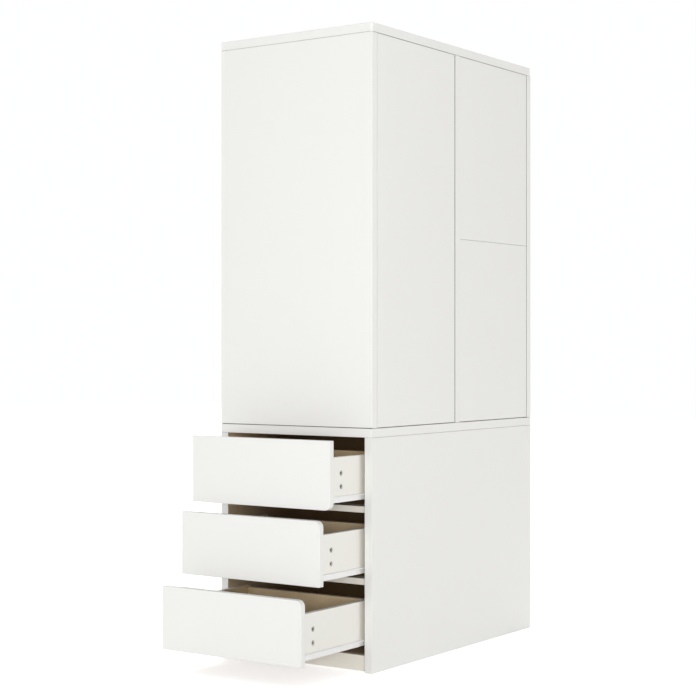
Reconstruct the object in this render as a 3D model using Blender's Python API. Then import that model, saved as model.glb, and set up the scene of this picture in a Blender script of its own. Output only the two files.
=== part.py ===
"""A white wardrobe: a cupboard with three flush doors on a chest whose three drawers pull out at one end.

The doors face -Y and the drawers pull out along -X. The origin is on the floor at the middle of the
carcass. The doors are closed and the drawers stand open, each by its own amount.
"""

import math

import bmesh
import bpy
from mathutils import Vector

# Carcass
WIDTH = 0.914
DEPTH = 0.535
UPPER_HEIGHT = 1.123
BOARD = 0.025
SHEET = 0.018
BACK_SHEET = 0.004
BACK_INSET = 0.010
GROOVE_DEPTH = 0.008
TOP_CORNER_RADIUS = 0.008
SIDE_CORNER_RADIUS = 0.002
SEAM_HEIGHT = 0.0012
SEAM_DEPTH = 0.004
EDGE_EASE = 0.0006
FIT = 0.0003

# Doors
DOOR_NEAR_GAP = 0.002
DOOR_FAR_GAP = 0.0034
DOOR_TIGHT_GAP = 0.0008
DOOR_HEAD_GAP = 0.0012
DOOR_FOOT_GAP = 0.002
DOOR_SPLIT_GAP = 0.0007
DOOR_STOP_GAP = 0.001

# Concealed hinges
CUP_RADIUS = 0.0175
CUP_WALL = 0.001
CUP_DEPTH = 0.011
CUP_EDGE_DISTANCE = 0.0225
CUP_FLANGE = 0.0012
CUP_FLANGE_RIM = 0.0015
CUP_EAR_OFFSET = 0.024
CUP_EAR_RADIUS = 0.007
CUP_EAR_SETBACK = 0.006
HINGE_END_DISTANCE = 0.080
ARM_REACH = 0.078
ARM_RISE = 0.029
ARM_WIDTH = 0.013
ARM_TIP_GAP = 0.0004
PLATE_THICKNESS = 0.003
PLATE_DISTANCE = 0.037
PLATE_WING_OFFSET = 0.016
PLATE_WING_RADIUS = 0.0075

# Push latches
LATCH_LENGTH = 0.078
LATCH_WIDTH = 0.013
LATCH_CORNER_RADIUS = 0.003
LATCH_PLATE = 0.0025
LATCH_EAR_OFFSET = 0.016
LATCH_EAR_RADIUS = 0.006
PLUNGER_RADIUS = 0.0038
PLUNGER_REACH = 0.005
PLUNGER_GAP = 0.0004

# Hanging rail and shelves
RAIL_DROP = 0.060
RAIL_RADIUS = 0.0075
RAIL_STRAIGHT = 0.015
RAIL_WALL = 0.001
SOCKET_WALL = 0.003
SOCKET_DEPTH = 0.014
SOCKET_PLATE = 0.003
LOOSE_SHELF_GAP = 0.0008
LOOSE_SHELF_SETBACK = 0.020
LOOSE_SHELF_HEIGHT = 0.250

# Chest
PLINTH_HEIGHT = 0.044
PLINTH_SETBACK = 0.020
PLINTH_GAP = 0.016
RAIL_DEPTH = 0.050
HEAD_GAP = 0.002
FRONT_GAP = 0.003
FRONT_SIDE_GAP = 0.002
LOW_FRONT_HEIGHT = 0.177
TOP_FRONT_HEIGHT = 0.188
FRONT_CORNER_RADIUS = 0.0175
FRONT_FOOT_RADIUS = 0.003

# Drawer boxes
BOX_SIDE = 0.015
BOX_HEIGHT = 0.122
BOX_LENGTH = 0.348
BOX_BACK_DROP = 0.004
BOX_BOTTOM = 0.003
BOX_GROOVE_RISE = 0.010
BOX_GROOVE_DEPTH = 0.005
LOW_BOX_RISE = 0.0151
TOP_BOX_RISE = 0.0193
TOP_DRAWER_OUT = 0.163
MIDDLE_DRAWER_OUT = 0.210
BOTTOM_DRAWER_OUT = 0.293

# Roller runners
RUNNER_SPACE = 0.0125
RUNNER_STEEL = 0.0012
RUNNER_LENGTH = 0.350
RUNNER_LEG = 0.0155
RUNNER_LAP = 0.012
RUNNER_FLANGE = 0.009
RUNNER_LIP = 0.0025
RUNNER_END_GAP = 0.001
CHANNEL_FOOT_GAP = 0.0008
CHANNEL_HEAD_GAP = 0.0015
CHANNEL_FLANGE_GAP = 0.0008
ROLLER_RADIUS = 0.008
ROLLER_WIDTH = 0.0052
ROLLER_CHAMFER = 0.0005
ROLLER_HUB_RADIUS = 0.003
ROLLER_HEAD = 0.0004
ROLLER_INSET = 0.0105
SLOT_RADIUS = 0.0025
SLOT_LENGTH = 0.006

# Places along an edge, as shares of its length
TALL_HINGE_SHARES = (0, 0.5, 1)
SHORT_HINGE_SHARES = (0, 1)
TALL_LATCH_SHARE = 0.5
SHORT_LATCH_SHARE = 0.3
SLOT_SHARES = (0.12, 0.5, 0.88)

# A hinge arm in plan: shares of its reach behind the tip, and of its rise off the cabinet side
ARM_OUTLINE_SHARES = (
    (1, 0.07),
    (0.26, 0.07),
    (0.08, 0.4),
    (0, 0.47),
    (0, 0.96),
    (0.1, 1),
    (0.42, 0.52),
    (0.94, 0.45),
    (1, 0.36),
)

# Counts of straight steps in a round stretch
CORNER_STEPS = 5
ROUND_STEPS = 28

# What a cutter runs past the face that it cuts
OVERRUN = 0.002

QUARTER_TURN = math.pi / 2
FULL_TURN = math.tau

NEAR = -1
FAR = 1

# Worked out from the sizes above
left = -WIDTH / 2
right = WIDTH / 2
front = -DEPTH / 2
rear = DEPTH / 2
left_inner = left + BOARD
right_inner = right - BOARD
front_inner = front + BOARD
rear_inner = rear - BOARD
divider_half = BOARD / 2

base_underside = (
    PLINTH_HEIGHT + PLINTH_GAP + 2 * LOW_FRONT_HEIGHT + TOP_FRONT_HEIGHT + 2 * SHEET + 4 * FRONT_GAP + HEAD_GAP
)
base_head = base_underside + BOARD
height = base_head + UPPER_HEIGHT
top_underside = height - BOARD
floor_head = base_head + FIT + SHEET

back_rear = rear - BACK_INSET
back_front = back_rear - BACK_SHEET
door_back = front + SHEET
interior_front = door_back + DOOR_STOP_GAP

door_foot = base_head + DOOR_FOOT_GAP
door_head = top_underside - DOOR_HEAD_GAP
door_split = (door_foot + door_head) / 2
split_foot = door_split - DOOR_SPLIT_GAP / 2
split_head = door_split + DOOR_SPLIT_GAP / 2

box_half_width = rear_inner - RUNNER_SPACE

# Finishes: colour, roughness and metallic value
FINISHES = {
    "white_laminate": ((0.86, 0.86, 0.84), 0.38, 0),
    "interior_laminate": ((0.62, 0.55, 0.46), 0.55, 0),
    "drawer_laminate": ((0.80, 0.79, 0.75), 0.45, 0),
    "hardboard": ((0.58, 0.50, 0.40), 0.7, 0),
    "white_steel": ((0.88, 0.88, 0.87), 0.35, 0),
    "nickel_steel": ((0.62, 0.62, 0.60), 0.3, 1),
    "chrome": ((0.75, 0.75, 0.76), 0.12, 1),
    "white_nylon": ((0.83, 0.83, 0.81), 0.45, 0),
}


def clear_scene():
    for item in list(bpy.data.objects):
        bpy.data.objects.remove(item)


def finish_of(name):
    material = bpy.data.materials.get(name) or bpy.data.materials.new(name)
    colour, roughness, metallic = FINISHES[name]
    material.use_nodes = True
    shader = material.node_tree.nodes["Principled BSDF"]
    shader.inputs["Base Color"].default_value = (*colour, 1)
    shader.inputs["Roughness"].default_value = roughness
    shader.inputs["Metallic"].default_value = metallic
    return material


def add_carrier(name, place):
    """An empty on a joint's axis, which carries all that moves with it."""
    carrier = bpy.data.objects.new(name, None)
    carrier.location = place
    bpy.context.scene.collection.objects.link(carrier)
    return carrier


def add_mesh(name, shape):
    """An object of the bmesh, whose points are in world space."""
    bmesh.ops.recalc_face_normals(shape, faces=shape.faces)
    mesh = bpy.data.meshes.new(name)
    shape.to_mesh(mesh)
    shape.free()
    piece = bpy.data.objects.new(name, mesh)
    bpy.context.scene.collection.objects.link(piece)
    return piece


def dress(piece, finish, carrier=None, eased=False):
    """Gives a piece its finish, its eased edges and what it moves with."""
    piece.data.materials.append(finish_of(finish))
    piece.data.shade_smooth()
    piece.data.set_sharp_from_angle(angle=QUARTER_TURN / 3)
    if eased:
        ease = piece.modifiers.new("Eased edges", "BEVEL")
        ease.width = EDGE_EASE
        ease.segments = 1
        ease.limit_method = "ANGLE"
    if carrier:
        piece.parent = carrier
        piece.location = -carrier.location
    return piece


def along(axis, first, second, place):
    """The point whose coordinate on the axis is the place, and whose other two are first and second in XYZ order."""
    if axis == "X":
        return Vector((place, first, second))
    if axis == "Y":
        return Vector((first, place, second))
    return Vector((first, second, place))


def extrude_outline(outline, axis, start, end):
    """A bmesh of the closed outline, extruded along the axis and capped."""
    shape = bmesh.new()
    corners = [shape.verts.new(along(axis, first, second, start)) for first, second in outline]
    base = shape.faces.new(corners)
    grown = bmesh.ops.extrude_face_region(shape, geom=[base])
    moved = [item for item in grown["geom"] if isinstance(item, bmesh.types.BMVert)]
    bmesh.ops.translate(shape, verts=moved, vec=along(axis, 0, 0, end - start))
    return shape


def add_prism(name, outline, axis, start, end):
    return add_mesh(name, extrude_outline(outline, axis, start, end))


def add_board(name, low, high, finish, carrier=None, eased=True):
    """A plain rectangular panel between two opposite corners."""
    outline = rectangle(low[0], low[1], high[0], high[1])
    return dress(add_prism(name, outline, "Z", low[2], high[2]), finish, carrier, eased)


def rectangle(low_first, low_second, high_first, high_second, radii=(0, 0, 0, 0)):
    """A rectangle whose corners, anticlockwise from the low one, have the given radii."""
    corners = (
        (low_first, low_second, 1, 1),
        (high_first, low_second, -1, 1),
        (high_first, high_second, -1, -1),
        (low_first, high_second, 1, -1),
    )
    points = []
    for turn, ((first, second, inward_first, inward_second), radius) in enumerate(zip(corners, radii)):
        if not radius:
            points.append((first, second))
            continue
        centre_first = first + inward_first * radius
        centre_second = second + inward_second * radius
        for step in range(CORNER_STEPS + 1):
            angle = QUARTER_TURN * (2 + turn + step / CORNER_STEPS)
            points.append((centre_first + radius * math.cos(angle), centre_second + radius * math.sin(angle)))
    return points


def strap(circles):
    """The outline of a taut strap round the circles, each given as two coordinates and a radius."""
    points = []
    for step in range(ROUND_STEPS):
        angle = FULL_TURN * (step + 0.5) / ROUND_STEPS
        across = math.cos(angle)
        up = math.sin(angle)
        first, second, radius = max(circles, key=lambda circle: circle[0] * across + circle[1] * up + circle[2])
        points.append((first + radius * across, second + radius * up))
    return points


def bent_sheet(path, thickness):
    """The closed section of a folded sheet that lies to the right of the path, with mitred bends."""
    spans = [(Vector(end) - Vector(start)).normalized() for start, end in zip(path, path[1:])]
    rights = [Vector((span.y, -span.x)) for span in spans]
    offset = []
    for place, before, after in zip(path, [rights[0], *rights], [*rights, rights[-1]]):
        mitre = (before + after) / (1 + before.dot(after))
        offset.append(tuple(Vector(place) + mitre * thickness))
    return [*path, *reversed(offset)]


def turned(profile, centre):
    """A bmesh turned about the line along Y through the centre, from (place along Y, radius) points."""
    shape = bmesh.new()
    points = [shape.verts.new(Vector((centre[0], place, centre[1] + radius))) for place, radius in profile]
    edges = [shape.edges.new(pair) for pair in zip(points, points[1:])]
    bmesh.ops.spin(
        shape,
        geom=[*points, *edges],
        cent=Vector((centre[0], 0, centre[1])),
        axis=Vector((0, 1, 0)),
        angle=FULL_TURN,
        steps=ROUND_STEPS,
        use_merge=True,
    )
    bmesh.ops.remove_doubles(shape, verts=shape.verts, dist=FIT / 100)
    return shape


def combine(piece, tool, operation):
    """A Boolean between a piece and a helper, which stays in the scene as a guide."""
    tool.hide_render = True
    tool.display_type = "WIRE"
    cut = piece.modifiers.new(tool.name, "BOOLEAN")
    cut.operation = operation
    cut.object = tool
    if piece.parent:
        tool.parent = piece.parent
        tool.location = piece.location


# Carcass of the cupboard


def add_top_panel():
    outline = rectangle(left, front, right, rear, (TOP_CORNER_RADIUS, TOP_CORNER_RADIUS, 0, 0))
    dress(add_prism("top_panel", outline, "Z", top_underside, height), "white_laminate", eased=True)


def upper_side_outline(outer, inner):
    """A side in plan: one rounded corner at the front, and the groove for the back in its inner face."""
    turn = 1 if inner > outer else -1
    rounded = rectangle(0, front, BOARD, rear, (SIDE_CORNER_RADIUS, 0, 0, 0))
    groove_front = back_front - FIT
    groove_rear = back_rear + FIT
    grooved = []
    for across, along_depth in rounded:
        grooved.append((across, along_depth))
        if (across, along_depth) == (BOARD, front):
            grooved += [
                (BOARD, groove_front),
                (BOARD - GROOVE_DEPTH, groove_front),
                (BOARD - GROOVE_DEPTH, groove_rear),
                (BOARD, groove_rear),
            ]
    return [(outer + turn * across, along_depth) for across, along_depth in grooved]


def add_upper_sides():
    """The two sides, each cut back along the foot of its outer face where the cupboard meets the chest."""
    for name, outer, inner in (("near", left, left_inner), ("far", right, right_inner)):
        outline = upper_side_outline(outer, inner)
        side = add_prism(f"upper_side_{name}", outline, "Z", base_head + FIT, top_underside - FIT)
        dress(side, "white_laminate", eased=True)
        turn = 1 if inner > outer else -1
        seam_ends = sorted((outer - turn * OVERRUN, outer + turn * SEAM_DEPTH))
        seam_outline = rectangle(seam_ends[0], front - OVERRUN, seam_ends[1], rear + OVERRUN)
        seam = add_prism(
            f"upper_side_{name}_seam", seam_outline, "Z", base_head - OVERRUN, base_head + FIT + SEAM_HEIGHT
        )
        combine(side, seam, "DIFFERENCE")


def add_divider():
    """The upright between the bays, notched over the floor panel, so that only its front strip reaches down."""
    strip_rear = interior_front - FIT
    outline = [
        (front, base_head + FIT),
        (strip_rear, base_head + FIT),
        (strip_rear, floor_head + FIT),
        (back_front - FIT, floor_head + FIT),
        (back_front - FIT, top_underside - FIT),
        (front, top_underside - FIT),
    ]
    dress(add_prism("divider", outline, "X", -divider_half, divider_half), "white_laminate", eased=True)


def add_upper_floor_and_back():
    add_board(
        "upper_floor",
        (left_inner + FIT, interior_front, base_head + FIT),
        (right_inner - FIT, back_front - FIT, floor_head),
        "interior_laminate",
    )
    add_board(
        "upper_back",
        (left_inner - GROOVE_DEPTH + FIT, back_front, base_head + FIT),
        (right_inner + GROOVE_DEPTH - FIT, back_rear, top_underside - FIT),
        "hardboard",
        eased=False,
    )


def add_shelves():
    """The fixed shelf behind the joint of the two short doors, and the loose one under it."""
    add_board(
        "middle_shelf",
        (divider_half + FIT, interior_front, door_split - SHEET / 2),
        (right_inner - FIT, back_front - FIT, door_split + SHEET / 2),
        "interior_laminate",
    )
    shelf_foot = floor_head + LOOSE_SHELF_HEIGHT
    add_board(
        "loose_shelf",
        (divider_half + LOOSE_SHELF_GAP, interior_front + LOOSE_SHELF_SETBACK, shelf_foot),
        (right_inner - LOOSE_SHELF_GAP, back_front - LOOSE_SHELF_GAP, shelf_foot + SHEET),
        "interior_laminate",
    )


def add_hanging_rail():
    """An oval tube that lies in two sockets, each open at its top."""
    axis = top_underside - RAIL_DROP
    middle = (interior_front + back_front) / 2
    rise = RAIL_STRAIGHT / 2
    outline = strap([(middle, axis - rise, RAIL_RADIUS), (middle, axis + rise, RAIL_RADIUS)])
    ends = (left_inner + FIT, -divider_half - FIT)
    tube = add_prism("hanging_rail", outline, "X", ends[0] + SOCKET_PLATE + FIT, ends[1] - SOCKET_PLATE - FIT)
    dress(tube, "chrome")
    bore_radius = RAIL_RADIUS - RAIL_WALL
    bore_outline = strap([(middle, axis - rise, bore_radius), (middle, axis + rise, bore_radius)])
    bore = add_prism("hanging_rail_bore", bore_outline, "X", ends[0], ends[1])
    combine(tube, bore, "DIFFERENCE")

    seat_radius = RAIL_RADIUS + FIT
    outer_radius = seat_radius + SOCKET_WALL
    block = strap([(middle, axis - rise, outer_radius), (middle, axis + rise, outer_radius)])
    slot = strap([(middle, axis - rise, seat_radius), (middle, axis + outer_radius + RAIL_STRAIGHT, seat_radius)])
    for name, end, inward in (("near", ends[0], 1), ("far", ends[1], -1)):
        mouth = end + inward * SOCKET_DEPTH
        socket = add_prism(f"rail_socket_{name}", block, "X", end, mouth)
        dress(socket, "chrome")
        pocket = add_prism(
            f"rail_socket_{name}_pocket", slot, "X", end + inward * SOCKET_PLATE, mouth + inward * OVERRUN
        )
        combine(socket, pocket, "DIFFERENCE")


# Doors, hinges and latches


def hinge_heights(foot, head, shares):
    span = head - foot - 2 * HINGE_END_DISTANCE
    return [foot + HINGE_END_DISTANCE + share * span for share in shares]


def add_hinge_arm(name, side_face, inward, centre_height):
    """A mounting plate on the cabinet side, with a cranked arm that ends behind the door's cup."""
    tip = door_back + CUP_FLANGE + ARM_TIP_GAP
    reach = door_back + ARM_REACH - tip
    low = centre_height - ARM_WIDTH / 2
    outline = [
        (side_face + inward * rise_share * ARM_RISE, tip + reach_share * reach)
        for reach_share, rise_share in ARM_OUTLINE_SHARES
    ]
    arm = add_prism(name, outline, "Z", low, low + ARM_WIDTH)
    dress(arm, "nickel_steel")
    plate_centre = door_back + PLATE_DISTANCE
    wings = strap(
        [
            (plate_centre, centre_height - PLATE_WING_OFFSET, PLATE_WING_RADIUS),
            (plate_centre, centre_height + PLATE_WING_OFFSET, PLATE_WING_RADIUS),
        ]
    )
    seat = side_face + inward * FIT
    plate = add_prism(f"{name}_plate", wings, "X", seat, seat + inward * PLATE_THICKNESS)
    combine(arm, plate, "UNION")


def add_hinge_cup(door, name, cup_place, outward, centre_height):
    """A pressed cup and its flange, seated in the back of the door."""
    rim = (cup_place, centre_height, CUP_RADIUS + CUP_FLANGE_RIM)
    ear_place = cup_place + outward * CUP_EAR_SETBACK
    ears = [(ear_place, centre_height + turn * CUP_EAR_OFFSET, CUP_EAR_RADIUS) for turn in (NEAR, FAR)]
    flange = add_prism(f"{name}_flange", strap([rim, *ears]), "Y", door_back - CUP_WALL, door_back + CUP_FLANGE)
    combine(door, flange, "UNION")
    hollow_outline = strap([(cup_place, centre_height, CUP_RADIUS - CUP_WALL)])
    hollow = add_prism(
        f"{name}_hollow", hollow_outline, "Y", door_back - CUP_DEPTH, door_back + CUP_FLANGE + OVERRUN
    )
    combine(door, hollow, "DIFFERENCE")


def add_door(name, low, high, hinge_side, hinge_shares):
    """A flush door, its hinge line at the front corner beside the cabinet side, given as NEAR or FAR."""
    low_place, foot = low
    high_place, head = high
    hinge_place = low_place if hinge_side == NEAR else high_place
    side_face = left_inner if hinge_side == NEAR else right_inner
    inward = -hinge_side
    carrier = add_carrier(f"{name}_hinge_line", Vector((hinge_place, front, foot)))
    door = add_board(name, (low_place, front, foot), (high_place, door_back, head), "white_laminate", carrier)
    cup_place = hinge_place + inward * CUP_EDGE_DISTANCE
    labels = ("bottom", "top") if len(hinge_shares) == len(SHORT_HINGE_SHARES) else ("bottom", "middle", "top")
    for label, centre_height in zip(labels, hinge_heights(foot, head, hinge_shares)):
        add_hinge_cup(door, f"{name}_cup_{label}", cup_place, inward, centre_height)
        add_hinge_arm(f"hinge_arm_{name[5:]}_{label}", side_face, inward, centre_height)


def add_latch(name, foot, head, side, height_share):
    """A push latch on the divider: plate, housing and the plunger that meets the door's back."""
    centre_height = foot + height_share * (head - foot)
    face = side * (divider_half + FIT)
    housing_front = door_back + PLUNGER_GAP + PLUNGER_REACH
    housing_rear = housing_front + LATCH_LENGTH
    low = centre_height - LATCH_WIDTH / 2
    near_edge = min(face, face + side * LATCH_WIDTH)
    section = rectangle(
        near_edge, low, near_edge + LATCH_WIDTH, low + LATCH_WIDTH, (LATCH_CORNER_RADIUS,) * 4
    )
    latch = add_prism(name, section, "Y", housing_front, housing_rear)
    dress(latch, "white_nylon")
    ear_place = (housing_front + housing_rear) / 2
    ears = strap(
        [
            (ear_place, centre_height - LATCH_EAR_OFFSET, LATCH_EAR_RADIUS),
            (ear_place, centre_height + LATCH_EAR_OFFSET, LATCH_EAR_RADIUS),
        ]
    )
    combine(latch, add_prism(f"{name}_plate", ears, "X", face, face + side * LATCH_PLATE), "UNION")
    centre = face + side * LATCH_WIDTH / 2
    plunger = strap([(centre, centre_height, PLUNGER_RADIUS)])
    tip = add_prism(f"{name}_plunger", plunger, "Y", door_back + PLUNGER_GAP, housing_front + PLUNGER_REACH)
    combine(latch, tip, "UNION")


def add_doors():
    near_edge = left_inner + DOOR_NEAR_GAP
    far_edge = right_inner - DOOR_FAR_GAP
    tall_edge = -divider_half - DOOR_FAR_GAP
    short_edge = divider_half + DOOR_TIGHT_GAP
    add_door("door_tall", (near_edge, door_foot), (tall_edge, door_head), NEAR, TALL_HINGE_SHARES)
    add_door("door_upper", (short_edge, split_head), (far_edge, door_head), FAR, SHORT_HINGE_SHARES)
    add_door("door_lower", (short_edge, door_foot), (far_edge, split_foot), FAR, SHORT_HINGE_SHARES)
    add_latch("push_latch_tall", door_foot, door_head, NEAR, TALL_LATCH_SHARE)
    add_latch("push_latch_upper", split_head, door_head, FAR, SHORT_LATCH_SHARE)
    add_latch("push_latch_lower", door_foot, split_foot, FAR, SHORT_LATCH_SHARE)


# Carcass of the chest


def drawer_fronts():
    """Foot and head of each drawer front, from the lowest up."""
    foot = PLINTH_HEIGHT + PLINTH_GAP
    fronts = []
    for front_height in (LOW_FRONT_HEIGHT, LOW_FRONT_HEIGHT, TOP_FRONT_HEIGHT):
        fronts.append((foot, foot + front_height))
        foot += front_height + FRONT_GAP + SHEET + FRONT_GAP
    return fronts


def add_chest():
    """The boards of the chest. Its partition stands on the floor behind the drawers, under the divider."""
    across = (front_inner + FIT, rear_inner - FIT)
    under_base = base_underside - FIT
    add_board("base_top", (left, front, base_underside), (right, rear, base_head), "white_laminate")
    add_board("base_side_front", (left, front, 0), (right, front_inner, under_base), "white_laminate")
    add_board("base_side_rear", (left, rear_inner, 0), (right, rear, under_base), "white_laminate")
    add_board("base_end", (right_inner, across[0], 0), (right, across[1], under_base), "white_laminate")

    plinth_face = left + PLINTH_SETBACK
    plinth_back = plinth_face + SHEET
    add_board("plinth", (plinth_face, across[0], 0), (plinth_back, across[1], PLINTH_HEIGHT), "white_laminate")
    partition_half = SHEET / 2
    add_board(
        "base_partition", (-partition_half, across[0], 0), (partition_half, across[1], under_base), "interior_laminate"
    )
    add_board(
        "base_floor",
        (plinth_back + FIT, across[0], PLINTH_HEIGHT - SHEET),
        (-partition_half - FIT, across[1], PLINTH_HEIGHT),
        "interior_laminate",
    )
    for name, (_, head) in zip(("lower", "upper"), drawer_fronts()):
        rail_foot = head + FRONT_GAP
        add_board(
            f"drawer_rail_{name}",
            (plinth_face, across[0], rail_foot),
            (plinth_face + RAIL_DEPTH, across[1], rail_foot + SHEET),
            "white_laminate",
        )


# Drawers and their runners


def box_side_outline(outer, inner, foot):
    """A drawer side's section, with the bottom's groove in its inner face."""
    groove_face = inner + (outer - inner) * BOX_GROOVE_DEPTH / BOX_SIDE
    groove_foot = foot + BOX_GROOVE_RISE
    groove_head = groove_foot + FIT + BOX_BOTTOM + FIT
    return [
        (outer, foot),
        (inner, foot),
        (inner, groove_foot),
        (groove_face, groove_foot),
        (groove_face, groove_head),
        (inner, groove_head),
        (inner, foot + BOX_HEIGHT),
        (outer, foot + BOX_HEIGHT),
    ]


def add_drawer_front(name, face, foot, head, radii, groove, carrier):
    """A front with its rounded corners on the door side, and a groove that takes the bottom."""
    edge = front_inner + FRONT_SIDE_GAP
    outline = rectangle(edge, foot, -edge, head, radii)
    board = add_prism(name, outline, "X", face, face + SHEET)
    dress(board, "white_laminate", carrier, eased=True)
    half_length, groove_foot, groove_head = groove
    back = face + SHEET
    cutter = add_prism(
        f"{name}_groove",
        rectangle(-half_length, groove_foot, half_length, groove_head),
        "X",
        back - BOX_GROOVE_DEPTH,
        back + OVERRUN,
    )
    combine(board, cutter, "DIFFERENCE")


def add_drawer(name, fronts, rise, out, radii):
    """A drawer's front, sides, back and bottom, pulled out from flush by the given amount."""
    foot, head = fronts
    face = left - out
    carrier = add_carrier(f"{name}_slide", Vector((face, 0, foot)))
    box_foot = foot + rise
    start = face + SHEET + FIT
    end = face + SHEET + BOX_LENGTH
    inner = box_half_width - BOX_SIDE
    bottom_foot = box_foot + BOX_GROOVE_RISE + FIT
    bottom_head = bottom_foot + BOX_BOTTOM
    bottom_half = inner + BOX_GROOVE_DEPTH - FIT
    groove = (bottom_half + FIT, bottom_foot - FIT, bottom_head + FIT)
    add_drawer_front(f"{name}_front", face, foot, head, radii, groove, carrier)
    for label, side in (("near", NEAR), ("far", FAR)):
        outline = box_side_outline(side * box_half_width, side * inner, box_foot)
        dress(add_prism(f"{name}_side_{label}", outline, "X", start, end), "drawer_laminate", carrier)
    add_board(
        f"{name}_back",
        (end - BOX_SIDE, FIT - inner, bottom_head + FIT),
        (end, inner - FIT, box_foot + BOX_HEIGHT - BOX_BACK_DROP),
        "drawer_laminate",
        carrier,
        eased=False,
    )
    add_board(
        f"{name}_base",
        (face + SHEET - BOX_GROOVE_DEPTH + FIT, -bottom_half, bottom_foot),
        (end, bottom_half, bottom_head),
        "hardboard",
        carrier,
        eased=False,
    )
    add_runners(name, box_foot, start, carrier)


def roller_profile(stem, face, direction):
    """Half the section of a roller on its rivet, from the stem's start outwards, as (place, radius) points."""
    rear_face = face + direction * ROLLER_WIDTH
    end = rear_face + direction * ROLLER_HEAD
    rim = ROLLER_RADIUS - ROLLER_CHAMFER
    chamfer = direction * ROLLER_CHAMFER
    return [
        (stem, 0),
        (stem, ROLLER_HUB_RADIUS),
        (face, ROLLER_HUB_RADIUS),
        (face, rim),
        (face + chamfer, ROLLER_RADIUS),
        (rear_face - chamfer, ROLLER_RADIUS),
        (rear_face, rim),
        (rear_face, ROLLER_HUB_RADIUS),
        (end, ROLLER_HUB_RADIUS),
        (end, 0),
    ]


def add_runners(name, box_foot, box_start, carrier):
    """Both roller runners: a member under each drawer side, and its channel on the chest's board."""
    leg_head = box_foot + RUNNER_LEG
    roller_height = leg_head - RUNNER_STEEL - FIT - ROLLER_RADIUS
    channel_foot = box_foot - FIT - RUNNER_STEEL - CHANNEL_FOOT_GAP
    channel_head = leg_head + CHANNEL_HEAD_GAP
    channel_start = left + SHEET + RUNNER_END_GAP
    leg_face = FIT + RUNNER_STEEL
    web_face = RUNNER_SPACE - FIT - RUNNER_STEEL
    lip_face = FIT + RUNNER_FLANGE - RUNNER_STEEL
    wheel_face = leg_face + (lip_face - leg_face - ROLLER_WIDTH) / 2
    member_path = [
        (-RUNNER_LAP, -FIT),
        (FIT, -FIT),
        (FIT, leg_head - box_foot),
        (FIT + RUNNER_FLANGE, leg_head - box_foot),
        (FIT + RUNNER_FLANGE, leg_head - box_foot - RUNNER_LIP),
    ]
    flange_face = leg_face + CHANNEL_FLANGE_GAP
    channel_path = [
        (flange_face, channel_foot - box_foot),
        (web_face, channel_foot - box_foot),
        (web_face, channel_head - box_foot),
        (flange_face, channel_head - box_foot),
    ]
    for label, side in (("near", NEAR), ("far", FAR)):
        member_outline = [
            (side * (box_half_width + across), box_foot + up)
            for across, up in bent_sheet(member_path, RUNNER_STEEL)
        ]
        member_start = box_start + RUNNER_END_GAP
        member_end = member_start + RUNNER_LENGTH - RUNNER_END_GAP
        member = add_prism(f"{name}_runner_{label}", member_outline, "X", member_start, member_end)
        dress(member, "white_steel", carrier)
        wheel = roller_profile(
            side * (box_half_width + leg_face - RUNNER_STEEL / 2), side * (box_half_width + wheel_face), side
        )
        wheel_centre = (member_end - ROLLER_INSET, roller_height)
        combine(member, add_mesh(f"{member.name}_roller", turned(wheel, wheel_centre)), "UNION")

        channel_outline = [
            (side * (box_half_width + across), box_foot + up)
            for across, up in bent_sheet(channel_path, RUNNER_STEEL)
        ]
        channel = add_prism(
            f"{name}_channel_{label}", channel_outline, "X", channel_start, channel_start + RUNNER_LENGTH
        )
        dress(channel, "white_steel")
        wheel = roller_profile(
            side * (box_half_width + web_face + RUNNER_STEEL / 2),
            side * (box_half_width + wheel_face + ROLLER_WIDTH),
            -side,
        )
        wheel_centre = (channel_start + ROLLER_INSET, roller_height)
        combine(channel, add_mesh(f"{channel.name}_roller", turned(wheel, wheel_centre)), "UNION")
        for share in SLOT_SHARES:
            place = channel_start + share * RUNNER_LENGTH
            cut_slot(channel, side * (box_half_width + web_face), side, place, (channel_foot + channel_head) / 2)


def cut_slot(channel, web, side, place, centre_height):
    """A screw slot through the channel's web."""
    half = SLOT_LENGTH / 2
    outline = strap([(place - half, centre_height, SLOT_RADIUS), (place + half, centre_height, SLOT_RADIUS)])
    reach = RUNNER_STEEL + OVERRUN / 4
    cutter = add_prism(f"{channel.name}_slot", outline, "Y", web - side * OVERRUN / 4, web + side * reach)
    combine(channel, cutter, "DIFFERENCE")


def add_drawers():
    """The rounded corners are those beside a rail, on the side where the doors are."""
    round_foot = (FRONT_CORNER_RADIUS, 0, 0, 0)
    round_head = (FRONT_FOOT_RADIUS, 0, 0, FRONT_CORNER_RADIUS)
    bottom, middle, top = drawer_fronts()
    add_drawer("drawer_bottom", bottom, LOW_BOX_RISE, BOTTOM_DRAWER_OUT, round_head)
    add_drawer("drawer_middle", middle, LOW_BOX_RISE, MIDDLE_DRAWER_OUT, round_head)
    add_drawer("drawer_top", top, TOP_BOX_RISE, TOP_DRAWER_OUT, round_foot)


def main():
    clear_scene()
    add_top_panel()
    add_upper_sides()
    add_divider()
    add_upper_floor_and_back()
    add_shelves()
    add_hanging_rail()
    add_doors()
    add_chest()
    add_drawers()


main()
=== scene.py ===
import math

import bmesh
import bpy
from mathutils import Matrix, Vector


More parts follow.
